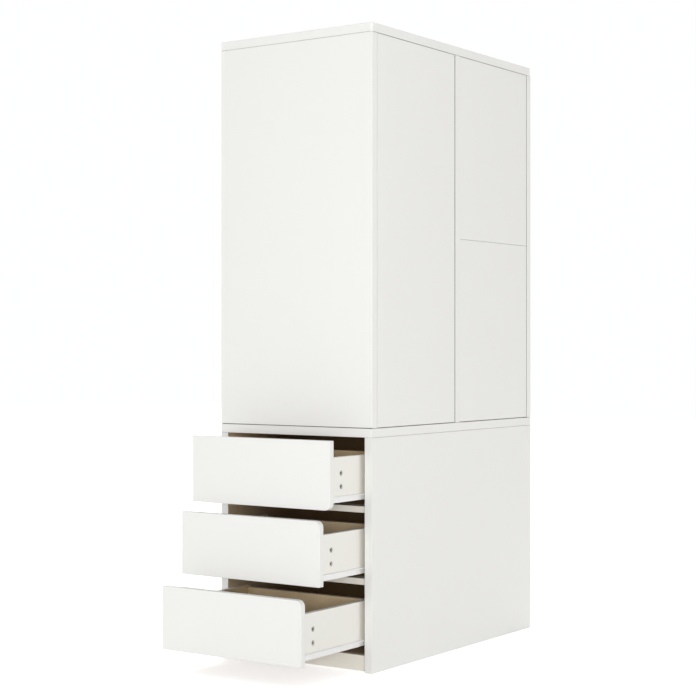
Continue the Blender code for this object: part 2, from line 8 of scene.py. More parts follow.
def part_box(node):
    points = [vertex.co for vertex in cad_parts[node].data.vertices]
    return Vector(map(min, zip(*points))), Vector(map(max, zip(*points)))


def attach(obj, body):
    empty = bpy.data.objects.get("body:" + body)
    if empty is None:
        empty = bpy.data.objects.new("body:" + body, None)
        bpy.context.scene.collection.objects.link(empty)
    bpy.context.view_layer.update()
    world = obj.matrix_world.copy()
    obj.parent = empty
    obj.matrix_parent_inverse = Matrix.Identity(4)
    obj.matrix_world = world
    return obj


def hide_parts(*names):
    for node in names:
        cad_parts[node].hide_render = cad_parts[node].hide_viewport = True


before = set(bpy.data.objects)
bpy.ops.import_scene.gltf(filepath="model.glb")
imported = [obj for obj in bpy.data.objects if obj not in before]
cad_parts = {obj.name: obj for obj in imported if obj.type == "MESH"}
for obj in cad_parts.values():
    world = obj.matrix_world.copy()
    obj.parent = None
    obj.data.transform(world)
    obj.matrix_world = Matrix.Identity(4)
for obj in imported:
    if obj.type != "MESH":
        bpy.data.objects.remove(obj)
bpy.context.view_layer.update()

# Colours are linear, sizes are metres


# Small helpers for node trees

def link(tree, source, target):
    if isinstance(source, bpy.types.NodeSocket):
        tree.links.new(source, target)
    else:
        target.default_value = source


def calc(tree, operation, first, second=0.5):
    node = tree.nodes.new("ShaderNodeMath")
    node.operation = operation
    link(tree, first, node.inputs[0])
    link(tree, second, node.inputs[1])
    return node.outputs[0]


def product(tree, result, *others):
    for other in others:
        result = calc(tree, "MULTIPLY", result, other)
    return result


def vectorCalc(tree, operation, first, second):
    node = tree.nodes.new("ShaderNodeVectorMath")
    node.operation = operation
    link(tree, first, node.inputs[0])
    link(tree, second, node.inputs[1])
    return node.outputs["Value" if operation == "DOT_PRODUCT" else "Vector"]


def split(tree, vector):
    node = tree.nodes.new("ShaderNodeSeparateXYZ")
    link(tree, vector, node.inputs[0])
    return node.outputs[0], node.outputs[1], node.outputs[2]


def join(tree, x, y, z):
    node = tree.nodes.new("ShaderNodeCombineXYZ")
    for socket, value in zip(node.inputs, (x, y, z)):
        link(tree, value, socket)
    return node.outputs[0]


# Glides from one value to another while the given one goes from low to high
def ramp(tree, value, low, high, outLow=0.0, outHigh=1.0):
    node = tree.nodes.new("ShaderNodeMapRange")
    node.interpolation_type = "SMOOTHSTEP"
    link(tree, value, node.inputs["Value"])
    for name, given in (("From Min", low), ("From Max", high), ("To Min", outLow), ("To Max", outHigh)):
        link(tree, given, node.inputs[name])
    return node.outputs["Result"]


def blendColor(tree, share, first, second, mode="MIX"):
    node = tree.nodes.new("ShaderNodeMix")
    node.data_type = "RGBA"
    node.blend_type = mode
    link(tree, share, node.inputs["Factor"])
    for socket, color in ((node.inputs[6], first), (node.inputs[7], second)):
        link(tree, color if isinstance(color, bpy.types.NodeSocket) else (*color, 1), socket)
    return node.outputs[2]


def toneColor(tree, color, tone):
    return blendColor(tree, 1.0, color, join(tree, tone, tone, tone), "MULTIPLY")


def noise(tree, point, scale, detail=2.0, roughness=0.5):
    node = tree.nodes.new("ShaderNodeTexNoise")
    link(tree, point, node.inputs["Vector"])
    link(tree, scale, node.inputs["Scale"])
    node.inputs["Detail"].default_value = detail
    node.inputs["Roughness"].default_value = roughness
    return node.outputs[0]


floatSocket = "NodeSocketFloat"
vectorSocket = "NodeSocketVector"


def newGroup(name, inputs, outputs):
    tree = bpy.data.node_groups.new(name, "ShaderNodeTree")
    for socketName, kind, value in inputs:
        socket = tree.interface.new_socket(socketName, in_out="INPUT", socket_type=kind)
        socket.default_value = value
    for socketName in outputs:
        tree.interface.new_socket(socketName, in_out="OUTPUT", socket_type=floatSocket)
    return tree, tree.nodes.new("NodeGroupInput").outputs, tree.nodes.new("NodeGroupOutput").inputs


# A value's name, such as arrisWidth, finds the group's input "Arris Width"
def useGroup(tree, group, **values):
    node = tree.nodes.new("ShaderNodeGroup")
    node.node_tree = group
    for name, value in values.items():
        spoken = "".join(" " + letter if letter.isupper() else letter for letter in name)
        link(tree, value, node.inputs[spoken[0].upper() + spoken[1:]])
    return node.outputs


# Shared effects

boardReach = {
    "face": 0.0002,  # so near a face's plane, a point is on that face
    "slack": 0.0001,
    "core": 0.0009,  # so deep under every face, a point is in the board's core
}


# Masks of a board: its inner faces, its arrises, the joint lines along its top and foot,
# the band of inner face just behind its front edge, and the core that a bore opens
def makeBoardPlaces():
    tree, given, out = newGroup(
        "boardPlaces",
        [
            ("Point", vectorSocket, (0, 0, 0)),
            ("Low", vectorSocket, (0, 0, 0)),
            ("High", vectorSocket, (1, 1, 1)),
            ("Low Inside", vectorSocket, (0, 0, 0)),
            ("High Inside", vectorSocket, (0, 0, 0)),
            ("Arris Width", floatSocket, 0.001),
            ("Front Axis", vectorSocket, (0, 0, 0)),
            ("Band Width", floatSocket, 0.0),
        ],
        ("Inside", "Arris", "Joint", "Band", "Core"),
    )
    fromLow = vectorCalc(tree, "SUBTRACT", given["Point"], given["Low"])
    fromHigh = vectorCalc(tree, "SUBTRACT", given["High"], given["Point"])
    onLow = [calc(tree, "LESS_THAN", part, boardReach["face"]) for part in split(tree, fromLow)]
    onHigh = [calc(tree, "LESS_THAN", part, boardReach["face"]) for part in split(tree, fromHigh)]
    lowShare = vectorCalc(tree, "DOT_PRODUCT", join(tree, *onLow), given["Low Inside"])
    highShare = vectorCalc(tree, "DOT_PRODUCT", join(tree, *onHigh), given["High Inside"])
    inside = calc(tree, "MINIMUM", calc(tree, "ADD", lowShare, highShare), 1.0)
    fromFront = vectorCalc(tree, "DOT_PRODUCT", fromLow, given["Front Axis"])
    bandEnd = calc(tree, "SUBTRACT", given["Band Width"], boardReach["slack"])
    pastBand = calc(tree, "GREATER_THAN", fromFront, bandEnd)
    tree.links.new(product(tree, inside, pastBand), out["Inside"])
    tree.links.new(product(tree, inside, calc(tree, "SUBTRACT", 1.0, pastBand)), out["Band"])
    nearest = split(tree, vectorCalc(tree, "MINIMUM", fromLow, fromHigh))
    lesser = calc(tree, "MINIMUM", nearest[0], nearest[1])
    greater = calc(tree, "MAXIMUM", nearest[0], nearest[1])
    middle = calc(tree, "MAXIMUM", lesser, calc(tree, "MINIMUM", greater, nearest[2]))
    tree.links.new(ramp(tree, middle, given["Arris Width"], 0.0), out["Arris"])
    nearJoint = ramp(tree, nearest[2], given["Arris Width"], 0.0)
    beside = calc(tree, "GREATER_THAN", nearest[2], boardReach["slack"])
    tree.links.new(product(tree, nearJoint, beside), out["Joint"])
    least = calc(tree, "MINIMUM", lesser, nearest[2])
    tree.links.new(calc(tree, "GREATER_THAN", least, boardReach["core"]), out["Core"])
    return tree


coatDrift = {
    "broadScale": 3.1,
    "cloudScale": 17.0,
    "broadShare": 0.7,
    "glossSwing": 0.12,
}


# A fine peel in the coat, and slow drifts in its tone and gloss
def makeCoatPeel():
    tree, given, out = newGroup(
        "coatPeel",
        [
            ("Point", vectorSocket, (0, 0, 0)),
            ("Size", floatSocket, 0.002),
            ("Unevenness", floatSocket, 0.02),
        ],
        ("Tone", "Height", "Gloss"),
    )
    scale = calc(tree, "DIVIDE", 1.0, given["Size"])
    fine = noise(tree, given["Point"], scale, detail=2.5, roughness=0.55)
    broad = noise(tree, given["Point"], coatDrift["broadScale"], detail=3.0)
    cloud = noise(tree, given["Point"], coatDrift["cloudScale"])
    broadPart = product(tree, broad, coatDrift["broadShare"])
    cloudPart = product(tree, cloud, 1 - coatDrift["broadShare"])
    drift = calc(tree, "ADD", broadPart, cloudPart)
    swing = product(tree, calc(tree, "SUBTRACT", drift, 0.5), given["Unevenness"])
    tree.links.new(calc(tree, "ADD", swing, 1.0), out["Tone"])
    tree.links.new(fine, out["Height"])
    glossSwing = product(tree, calc(tree, "SUBTRACT", cloud, 0.5), coatDrift["glossSwing"])
    tree.links.new(glossSwing, out["Gloss"])
    return tree


linenPrint = {
    "threadSize": 0.0011,
    "stretch": 0.03,  # the pattern's scale along a thread, as a share of that across it
    "range": (0.34, 0.66),
    "contrast": 0.14,
    "depth": 0.00004,
    "roughness": 0.56,
}


def makeLinenThreads():
    tree, given, out = newGroup(
        "linenThreads",
        [("Point", vectorSocket, (0, 0, 0)), ("Thread Size", floatSocket, 0.001)],
        ("Thread", "Height"),
    )
    x, y, z = split(tree, given["Point"])
    tight = calc(tree, "DIVIDE", 1.0, given["Thread Size"])
    loose = calc(tree, "DIVIDE", linenPrint["stretch"], given["Thread Size"])
    upright = join(
        tree,
        product(tree, calc(tree, "ADD", x, y), tight),
        product(tree, calc(tree, "SUBTRACT", x, y), tight),
        product(tree, z, loose),
    )
    lying = join(tree, product(tree, x, loose), product(tree, y, loose), product(tree, z, tight))
    warp = noise(tree, upright, 1.0, roughness=0.6)
    weft = noise(tree, lying, 1.0, roughness=0.6)
    crossing = calc(tree, "ADD", product(tree, warp, 0.5), product(tree, weft, 0.5))
    tree.links.new(ramp(tree, crossing, *linenPrint["range"]), out["Thread"])
    tree.links.new(crossing, out["Height"])
    return tree


plateRoll = {
    "stretch": (1.0, 0.14, 1.0),
    "patchScale": 60.0,
    "patchRange": (0.35, 0.65),
}


def makePlateGrain():
    tree, given, out = newGroup(
        "plateGrain",
        [("Point", vectorSocket, (0, 0, 0)), ("Size", floatSocket, 0.001)],
        ("Grain", "Patch"),
    )
    scale = calc(tree, "DIVIDE", 1.0, given["Size"])
    stretched = vectorCalc(tree, "MULTIPLY", given["Point"], plateRoll["stretch"])
    grain = noise(tree, stretched, scale, detail=3.0, roughness=0.6)
    patch = noise(tree, given["Point"], plateRoll["patchScale"], detail=3.0, roughness=0.6)
    tree.links.new(grain, out["Grain"])
    tree.links.new(ramp(tree, patch, *plateRoll["patchRange"]), out["Patch"])
    return tree


groups = {
    "boardPlaces": makeBoardPlaces(),
    "coatPeel": makeCoatPeel(),
    "linenThreads": makeLinenThreads(),
    "plateGrain": makePlateGrain(),
}


# Materials

def newMaterial(name):
    material = bpy.data.materials.new(name)
    material.use_nodes = True
    tree = material.node_tree
    shader = tree.nodes["Principled BSDF"]
    point = tree.nodes.new("ShaderNodeTexCoord").outputs["Object"]
    return material, tree, shader, point


# The height that comes in is in metres already
def addBump(tree, shader, height):
    bump = tree.nodes.new("ShaderNodeBump")
    bump.inputs["Strength"].default_value = 1.0
    bump.inputs["Distance"].default_value = 1.0
    tree.links.new(height, bump.inputs["Height"])
    tree.links.new(bump.outputs["Normal"], shader.inputs["Normal"])


# Puts another colour over what a finished material shows, wherever the mask is 1
def overlay(tree, mask, color):
    base = tree.nodes["Principled BSDF"].inputs["Base Color"]
    tree.links.new(blendColor(tree, mask, base.links[0].from_socket, color), base)


# The joint colour is painted shade: the crack along a board's top and foot, where it meets the next board,
# painted darker
whiteBoard = {
    "face": (0.845, 0.843, 0.822),
    "arris": (0.82, 0.82, 0.80),
    "joint": (0.60, 0.60, 0.59),
    # painted shade on the inner face just behind the front edge, seen in the gaps beside the doors
    "band": (0.40, 0.40, 0.385),
    "inside": (0.66, 0.51, 0.34),
    "roughness": 0.42,
    "peelSize": 0.0016,
    "peelDepth": 0.00003,
    "unevenness": 0.018,
    "arrisWidth": 0.0011,
    "bandWidth": 0.0026,
    "gloss": 0.4,
}

# Doors: lighter painted shade along their top and foot
doorBoard = {
    **whiteBoard,
    "joint": (0.78, 0.78, 0.765),
}

# Top panel: a cooler painted shade along its foot
topBoard = {
    **whiteBoard,
    "joint": (0.52, 0.58, 0.57),
}

# Divider: darker painted shade in the gaps beside its front edge
dividerBoard = {
    **whiteBoard,
    "band": (0.14, 0.14, 0.134),
}

# Near upper side: the divider's dark gap shade, and painted shade nearly black along its top and foot
sideBoard = {
    **dividerBoard,
    "joint": (0.17, 0.215, 0.20),
}

# Partition: its linen painted dark brown, painted shade of the closed drawer bay
shadedPartitionBoard = {
    **whiteBoard,
    "inside": (0.20, 0.118, 0.05),
    "roughness": 0.6,
}

# A lighter, warmer copy of the white board: painted warm bounce light on the plinth, the bay floor and the
# drawer rails, which stand in the drawers' shade
bounceLitBoard = {
    **whiteBoard,
    "face": (0.93, 0.90, 0.82),
}

# Drawer boards: light painted shade along their top and foot
drawerBoard = {
    "face": (0.85, 0.838, 0.79),
    "arris": (0.90, 0.89, 0.86),
    "joint": (0.74, 0.72, 0.68),
    "inside": (0.74, 0.58, 0.37),
    "roughness": 0.48,
    "peelSize": 0.002,
    "peelDepth": 0.00004,
    "unevenness": 0.022,
    "arrisWidth": 0.0012,
    "gloss": 0.4,
}

chipCore = {
    "dark": (0.16, 0.095, 0.045),
    "light": (0.34, 0.22, 0.115),
    "chipSize": 0.0012,
    "range": (0.35, 0.65),
}


# Linen print in one colour, the threads a little lighter than what lies between them
def linenColor(tree, threads, color):
    darker = tuple(part * (1 - linenPrint["contrast"]) for part in color)
    return blendColor(tree, threads["Thread"], darker, color)


# Coated board: white outside, and linen print on the faces that look into the cupboard
def boardMaterial(name, node, look, lowInside=(0, 0, 0), highInside=(0, 0, 0), front=(0, 0, 0), bored=False):
    low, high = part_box(node)
    material, tree, shader, point = newMaterial(name)
    places = useGroup(
        tree,
        groups["boardPlaces"],
        point=point,
        low=tuple(low),
        high=tuple(high),
        lowInside=lowInside,
        highInside=highInside,
        arrisWidth=look["arrisWidth"],
        frontAxis=front,
        bandWidth=look["bandWidth"] if any(front) else 0.0,
    )
    peel = useGroup(
        tree, groups["coatPeel"], point=point, size=look["peelSize"], unevenness=look["unevenness"]
    )
    threads = useGroup(tree, groups["linenThreads"], point=point, threadSize=linenPrint["threadSize"])
    color = blendColor(tree, places["Arris"], look["face"], look["arris"])
    # painted shade along the board's top and foot
    color = blendColor(tree, places["Joint"], color, look["joint"])
    # painted shade on the inner face behind the front edge
    if any(front):
        color = blendColor(tree, places["Band"], color, look["band"])
    color = blendColor(tree, places["Inside"], color, linenColor(tree, threads, look["inside"]))
    if bored:
        flakes = noise(tree, point, 1 / chipCore["chipSize"], detail=3.0, roughness=0.6)
        chips = blendColor(tree, ramp(tree, flakes, *chipCore["range"]), chipCore["dark"], chipCore["light"])
        color = blendColor(tree, places["Core"], color, chips)
    tree.links.new(toneColor(tree, color, peel["Tone"]), shader.inputs["Base Color"])
    dullness = ramp(tree, places["Inside"], 0.0, 1.0, look["roughness"], linenPrint["roughness"])
    tree.links.new(calc(tree, "ADD", dullness, peel["Gloss"]), shader.inputs["Roughness"])
    peelHeight = product(tree, peel["Height"], look["peelDepth"])
    threadHeight = product(tree, threads["Height"], linenPrint["depth"], places["Inside"])
    addBump(tree, shader, calc(tree, "ADD", peelHeight, threadHeight))
    shader.inputs["Specular IOR Level"].default_value = look["gloss"]
    return material


seamShade = {
    "color": (0.06, 0.058, 0.054),
    "rise": 0.0017,
    "setback": 0.0003,  # the front edge stays white
}


# Painted shade: the foot of the upper side, the rebate and the arris just above it, is painted nearly black
# as the shadow in the gap under it
def paintSeamShade(material, node):
    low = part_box(node)[0]
    tree = material.node_tree
    y, z = split(tree, tree.nodes["Texture Coordinate"].outputs["Object"])[1:]
    atFoot = calc(tree, "LESS_THAN", z, low.z + seamShade["rise"])
    behindFront = calc(tree, "GREATER_THAN", y, low.y + seamShade["setback"])
    overlay(tree, product(tree, atFoot, behindFront), seamShade["color"])


liningShade = {
    "color": (0.26, 0.165, 0.08),
    "start": 0.01,
    "end": 0.30,
}


# Painted shade: the lining of the drawer bay darkens deeper in from the front, towards the bay's dark end
def paintLiningShade(material, node):
    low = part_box(node)[0]
    tree = material.node_tree
    x = split(tree, tree.nodes["Texture Coordinate"].outputs["Object"])[0]
    share = ramp(tree, x, low.x + liningShade["start"], low.x + liningShade["end"])
    places = next(spot for spot in tree.nodes if getattr(spot, "node_tree", None) == groups["boardPlaces"])
    overlay(tree, product(tree, share, places.outputs["Inside"]), liningShade["color"])


hardboardSheet = {
    "printed": (0.58, 0.46, 0.325),
    "raw": (0.31, 0.195, 0.105),
    "fleck": (0.19, 0.112, 0.058),
    "chip": (0.66, 0.51, 0.34),
    "roughness": 0.72,
    "fibreSize": 0.004,
    "fibreDepth": 0.0002,
    "chipsPerFibre": 6,
    "fleckRange": (0.35, 0.68),
    "chipRange": (0.62, 0.72),
}


# Printed on one face, raw fibre on the other
def hardboardMaterial(name, node, rawLow=(0, 0, 0), rawHigh=(0, 0, 0)):
    look = hardboardSheet
    low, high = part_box(node)
    material, tree, shader, point = newMaterial(name)
    places = useGroup(
        tree,
        groups["boardPlaces"],
        point=point,
        low=tuple(low),
        high=tuple(high),
        lowInside=rawLow,
        highInside=rawHigh,
    )
    threads = useGroup(tree, groups["linenThreads"], point=point, threadSize=linenPrint["threadSize"])
    fibre = noise(tree, point, 1 / look["fibreSize"], detail=6.0, roughness=0.7)
    chip = noise(tree, point, look["chipsPerFibre"] / look["fibreSize"], detail=3.0, roughness=0.6)
    raw = blendColor(tree, ramp(tree, fibre, *look["fleckRange"]), look["raw"], look["fleck"])
    raw = blendColor(tree, ramp(tree, chip, *look["chipRange"]), raw, look["chip"])
    printed = linenColor(tree, threads, look["printed"])
    tree.links.new(blendColor(tree, places["Inside"], printed, raw), shader.inputs["Base Color"])
    dullness = ramp(tree, places["Inside"], 0.0, 1.0, linenPrint["roughness"], look["roughness"])
    tree.links.new(dullness, shader.inputs["Roughness"])
    fibreHeight = product(tree, fibre, look["fibreDepth"], places["Inside"])
    threadHeight = product(tree, threads["Height"], linenPrint["depth"])
    addBump(tree, shader, calc(tree, "ADD", fibreHeight, threadHeight))
    return material


nickelPlate = {
    "color": (0.68, 0.67, 0.65),
    "dull": (0.61, 0.60, 0.58),
    "roughness": 0.25,
    "grainSize": 0.0009,
    "grainDepth": 0.000006,
}

chromePlate = {
    "color": (0.72, 0.72, 0.73),
    "dull": (0.648, 0.648, 0.657),
    "roughness": 0.10,
    "grainSize": 0.002,
    "grainDepth": 0.000003,
}

zincCast = {
    "color": (0.52, 0.52, 0.51),
    "dull": (0.36, 0.36, 0.355),
    "roughness": 0.38,
    "grainSize": 0.0009,
    "grainDepth": 0.00004,
}

metalGrain = {
    "range": (0.3, 0.7),
    "glossier": 0.02,
    "duller": 0.03,
}

# painted shade in the drivers' recesses
recessShade = {
    "color": (0.035, 0.034, 0.032),
    "roughness": 0.8,
    "cover": 0.9,
}


# Plated or cast metal, with painted shade, nearly black and dull, wherever the mesh says recess
def metalMaterial(name, look):
    material, tree, shader, point = newMaterial(name)
    grain = useGroup(tree, groups["plateGrain"], point=point, size=look["grainSize"])
    metal = blendColor(tree, grain["Patch"], look["color"], look["dull"])
    attribute = tree.nodes.new("ShaderNodeAttribute")
    attribute.attribute_name = "recess"
    recess = attribute.outputs["Fac"]
    tree.links.new(blendColor(tree, recess, metal, recessShade["color"]), shader.inputs["Base Color"])
    low = look["roughness"] - metalGrain["glossier"]
    high = look["roughness"] + metalGrain["duller"]
    dullness = ramp(tree, grain["Grain"], *metalGrain["range"], low, high)
    shadeDullness = product(tree, recess, recessShade["roughness"])
    tree.links.new(calc(tree, "MAXIMUM", dullness, shadeDullness), shader.inputs["Roughness"])
    covered = product(tree, recess, recessShade["cover"])
    tree.links.new(calc(tree, "SUBTRACT", 1.0, covered), shader.inputs["Metallic"])
    addBump(tree, shader, product(tree, grain["Grain"], look["grainDepth"]))
    return material


nylonMould = {
    "color": (0.80, 0.80, 0.78),
    "tip": (0.24, 0.24, 0.24),
    "roughness": 0.46,
    "grainSize": 0.0007,
    "grainDepth": 0.00006,
    "unevenness": 0.04,
    "tipLength": 0.0035,
}


# Moulded latch, with a dark tip towards the door
def latchMaterial(name, node):
    look = nylonMould
    material, tree, shader, point = newMaterial(name)
    peel = useGroup(
        tree, groups["coatPeel"], point=point, size=look["grainSize"], unevenness=look["unevenness"]
    )
    y = split(tree, point)[1]
    atTip = calc(tree, "LESS_THAN", y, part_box(node)[0].y + look["tipLength"])
    color = blendColor(tree, atTip, toneColor(tree, look["color"], peel["Tone"]), look["tip"])
    tree.links.new(color, shader.inputs["Base Color"])
    tree.links.new(calc(tree, "ADD", peel["Gloss"], look["roughness"]), shader.inputs["Roughness"])
    addBump(tree, shader, product(tree, peel["Height"], look["grainDepth"]))
    return material


steelCoat = {
    "color": (0.86, 0.86, 0.855),
    "roughness": 0.34,
    "peelSize": 0.0009,
    "peelDepth": 0.00005,
    "unevenness": 0.05,
}

runnerWheel = {
    "radius": 0.008,
    "hub": 0.003,
    "inset": 0.0105,  # from the member's end
    "drop": 0.0015,  # under the drawer member's upper face
    "reach": 0.2405,  # no wheel lies further from the wardrobe's middle plane
    "slack": 0.0001,
    "rivetMetal": 0.9,
}


# White powder coat; round the wheel's centre there are nylon and a rivet instead
def coatedSteelMaterial(name, wheelCentre=None):
    material, tree, shader, point = newMaterial(name)
    peel = useGroup(
        tree, groups["coatPeel"], point=point, size=steelCoat["peelSize"], unevenness=steelCoat["unevenness"]
    )
    color = toneColor(tree, steelCoat["color"], peel["Tone"])
    if wheelCentre:
        x, y, z = split(tree, vectorCalc(tree, "SUBTRACT", point, wheelCentre))
        squares = calc(tree, "ADD", calc(tree, "POWER", x, 2.0), calc(tree, "POWER", z, 2.0))
        away = calc(tree, "SQRT", squares)
        inWheel = calc(tree, "LESS_THAN", away, runnerWheel["radius"] + runnerWheel["slack"])
        pastHub = calc(tree, "GREATER_THAN", away, runnerWheel["hub"] + runnerWheel["slack"])
        inReach = calc(tree, "LESS_THAN", calc(tree, "ABSOLUTE", y), runnerWheel["reach"])
        nylon = product(tree, inWheel, inReach, pastHub)
        rivet = product(tree, inWheel, inReach, calc(tree, "SUBTRACT", 1.0, pastHub))
        color = blendColor(tree, nylon, color, nylonMould["color"])
        color = blendColor(tree, rivet, color, nickelPlate["dull"])
        tree.links.new(product(tree, rivet, runnerWheel["rivetMetal"]), shader.inputs["Metallic"])
    tree.links.new(color, shader.inputs["Base Color"])
    tree.links.new(calc(tree, "ADD", peel["Gloss"], steelCoat["roughness"]), shader.inputs["Roughness"])
    addBump(tree, shader, product(tree, peel["Height"], steelCoat["peelDepth"]))
    return material


doorCup = {
    "boardThickness": 0.018,
    "setback": 0.0225,  # the cups' centre line, from the hinge side's edge
    "halfWidth": 0.0168,
    "skin": 0.005,  # the front part of the board, which no cup reaches
    "fromEnds": 0.02,  # no cup lies nearer to the door's top or foot
    "slack": 0.00008,
}
hingeSides = {"door_tall": -1, "door_upper": 1, "door_lower": 1}  # low or high side of X


# A line beside the hinge side's edge: the cups' centres, or so much further in
def cupLine(door, further=0.0):
    low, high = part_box(door)
    setback = doorCup["setback"] + further
    return low.x + setback if hingeSides[door] < 0 else high.x - setback


# White board all round, with the pressed cups told by their place behind the door
def doorMaterial(name, door):
    low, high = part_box(door)
    boardBack = low.y + doorCup["boardThickness"]
    material = boardMaterial(name, door, doorBoard)
    tree = material.node_tree
    shader = tree.nodes["Principled BSDF"]
    point = tree.nodes["Texture Coordinate"].outputs["Object"]
    x, y, z = split(tree, point)
    fromCentre = calc(tree, "ABSOLUTE", calc(tree, "SUBTRACT", x, cupLine(door)))
    hollow = product(
        tree,
        calc(tree, "LESS_THAN", y, boardBack - doorCup["slack"]),
        calc(tree, "LESS_THAN", fromCentre, doorCup["halfWidth"]),
        calc(tree, "GREATER_THAN", y, low.y + doorCup["skin"]),
        calc(tree, "GREATER_THAN", z, low.z + doorCup["fromEnds"]),
        calc(tree, "LESS_THAN", z, high.z - doorCup["fromEnds"]),
    )
    proud = calc(tree, "GREATER_THAN", y, boardBack + doorCup["slack"])
    metal = calc(tree, "MAXIMUM", proud, hollow)
    grain = useGroup(tree, groups["plateGrain"], point=point, size=nickelPlate["grainSize"])
    overlay(tree, metal, blendColor(tree, grain["Patch"], nickelPlate["color"], nickelPlate["dull"]))
    dullness = shader.inputs["Roughness"].links[0].from_socket
    change = product(tree, calc(tree, "SUBTRACT", nickelPlate["roughness"], dullness), metal)
    tree.links.new(calc(tree, "ADD", dullness, change), shader.inputs["Roughness"])
    tree.links.new(metal, shader.inputs["Metallic"])
    return material


def dress(node, material):
    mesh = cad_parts[node].data
    mesh.materials.clear()
    mesh.materials.append(material)


# Which faces look into the cupboard, as flags for the low and the high side of X, Y and Z
boardFaces = {
    "top_panel": ((0, 0, 1), (0, 0, 0)),
    "upper_side_near": ((0, 0, 0), (1, 0, 0)),
    "upper_side_far": ((1, 0, 0), (0, 0, 0)),
    "divider": ((1, 0, 0), (1, 0, 0)),
    "upper_floor": ((1, 0, 1), (1, 1, 1)),
    "middle_shelf": ((1, 0, 1), (1, 1, 1)),
    "loose_shelf": ((1, 0, 1), (1, 1, 1)),
    "base_top": ((0, 0, 1), (0, 0, 0)),
    "base_side_front": ((0, 0, 0), (0, 1, 0)),
    "base_side_rear": ((0, 1, 0), (0, 0, 0)),
    "base_end": ((1, 0, 0), (0, 0, 0)),
    "base_partition": ((1, 1, 1), (1, 1, 1)),
    "base_floor": ((1, 1, 1), (1, 1, 1)),
    "plinth": ((0, 0, 0), (1, 0, 0)),
    "drawer_rail_lower": ((0, 0, 0), (1, 0, 0)),
    "drawer_rail_upper": ((0, 0, 0), (1, 0, 0)),
}
boardLooks = {
    "top_panel": topBoard,
    "upper_side_near": sideBoard,
    "divider": dividerBoard,
    "base_partition": shadedPartitionBoard,
    "base_floor": bounceLitBoard,
    "plinth": bounceLitBoard,
    "drawer_rail_lower": bounceLitBoard,
    "drawer_rail_upper": bounceLitBoard,
}
# The axis that leads in from the board's front edge, where a band lies behind that edge
frontAxes = {
    "top_panel": (0, 1, 0),
    "upper_side_near": (0, 1, 0),
    "upper_side_far": (0, 1, 0),
    "divider": (0, 1, 0),
    "upper_floor": (0, 1, 0),
    "base_top": (1, 0, 0),
    "base_side_front": (1, 0, 0),
    "base_side_rear": (1, 0, 0),
}
boredBoards = ("upper_side_far", "divider")
drawers = ("drawer_top", "drawer_middle", "drawer_bottom")
drawerFaces = {
    "side_near": ((0, 0, 0), (0, 1, 0)),
    "side_far": ((0, 1, 0), (0, 0, 0)),
    "back": ((1, 0, 0), (0, 0, 0)),
}
drawerBoards = {}

for node, (lowInside, highInside) in boardFaces.items():
    front = frontAxes.get(node, (0, 0, 0))
    look = boardLooks.get(node, whiteBoard)
    bored = node in boredBoards
    material = boardMaterial(f"{node} coated board", node, look, lowInside, highInside, front, bored)
    # painted shade along the upper sides' foot
    if node.startswith("upper_side"):
        paintSeamShade(material, node)
    # painted shade deeper in the drawer bay
    if node in ("base_side_front", "base_side_rear", "base_top"):
        paintLiningShade(material, node)
    dress(node, material)
for drawer in drawers:
    dress(f"{drawer}_front", boardMaterial(f"{drawer} front board", f"{drawer}_front", whiteBoard))
    for part, (lowInside, highInside) in drawerFaces.items():
        node = f"{drawer}_{part}"
        bored = part != "back"
        board = boardMaterial(f"{node} board", node, drawerBoard, lowInside, highInside, bored=bored)
        drawerBoards[node] = board
        dress(node, board)
    node = f"{drawer}_base"
    dress(node, hardboardMaterial(f"{drawer} base sheet", node, rawLow=(0, 0, 1)))
dress("upper_back", hardboardMaterial("upper back sheet", "upper_back", rawHigh=(0, 1, 0)))
for door in hingeSides:
    dress(door, doorMaterial(f"{door} board and cups", door))
print("boards dressed")

# Metal and moulded fittings
nickel = metalMaterial("nickel plate", nickelPlate)
chrome = metalMaterial("chrome plate", chromePlate)
zinc = metalMaterial("cast zinc", zincCast)
lacquered = coatedSteelMaterial("white screw lacquer")
for node in sorted(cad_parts):
    if node.startswith("hinge_arm"):
        dress(node, nickel)
    elif node.startswith("push_latch"):
        dress(node, latchMaterial(f"{node} nylon", node))
for node in ("hanging_rail", "rail_socket_near", "rail_socket_far"):
    dress(node, chrome)


# The wheel stands at the rear end of the drawer's member and at the front end of the channel,
# and both wheels stand at the height of the drawer's member
def dressRunner(drawer, side):
    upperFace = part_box(f"{drawer}_runner_{side}")[1].z
    height = upperFace - runnerWheel["drop"] - runnerWheel["radius"]
    for kind in ("runner", "channel"):
        node = f"{drawer}_{kind}_{side}"
        low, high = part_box(node)
        place = high.x - runnerWheel["inset"] if kind == "runner" else low.x + runnerWheel["inset"]
        dress(node, coatedSteelMaterial(f"{node} steel", (place, 0, height)))


for drawer in drawers:
    for side in ("near", "far"):
        dressRunner(drawer, side)
print("fittings dressed")


# Mesh helpers for the small pieces

weldDistances = {"turned": 0.000001, "board": 0.00001}
smoothAngle = 0.6  # radians


def meshObject(name, shape):
    mesh = bpy.data.meshes.new(name)
    shape.to_mesh(mesh)
    shape.free()
    piece = bpy.data.objects.new(name, mesh)
    bpy.context.scene.collection.objects.link(piece)
    return piece


# (radius, height) points, turned about Z
def turnedShape(profile, steps):
    shape = bmesh.new()
    points = [shape.verts.new((radius, 0, height)) for radius, height in profile]
    edges = [shape.edges.new(pair) for pair in zip(points, points[1:])]
    bmesh.ops.spin(
        shape,
        geom=points + edges,
        cent=(0, 0, 0),
        axis=(0, 0, 1),
        angle=math.tau,
        steps=steps,
        use_merge=True,
    )
    bmesh.ops.remove_doubles(shape, verts=shape.verts, dist=weldDistances["turned"])
    bmesh.ops.recalc_face_normals(shape, faces=shape.faces)
    return shape


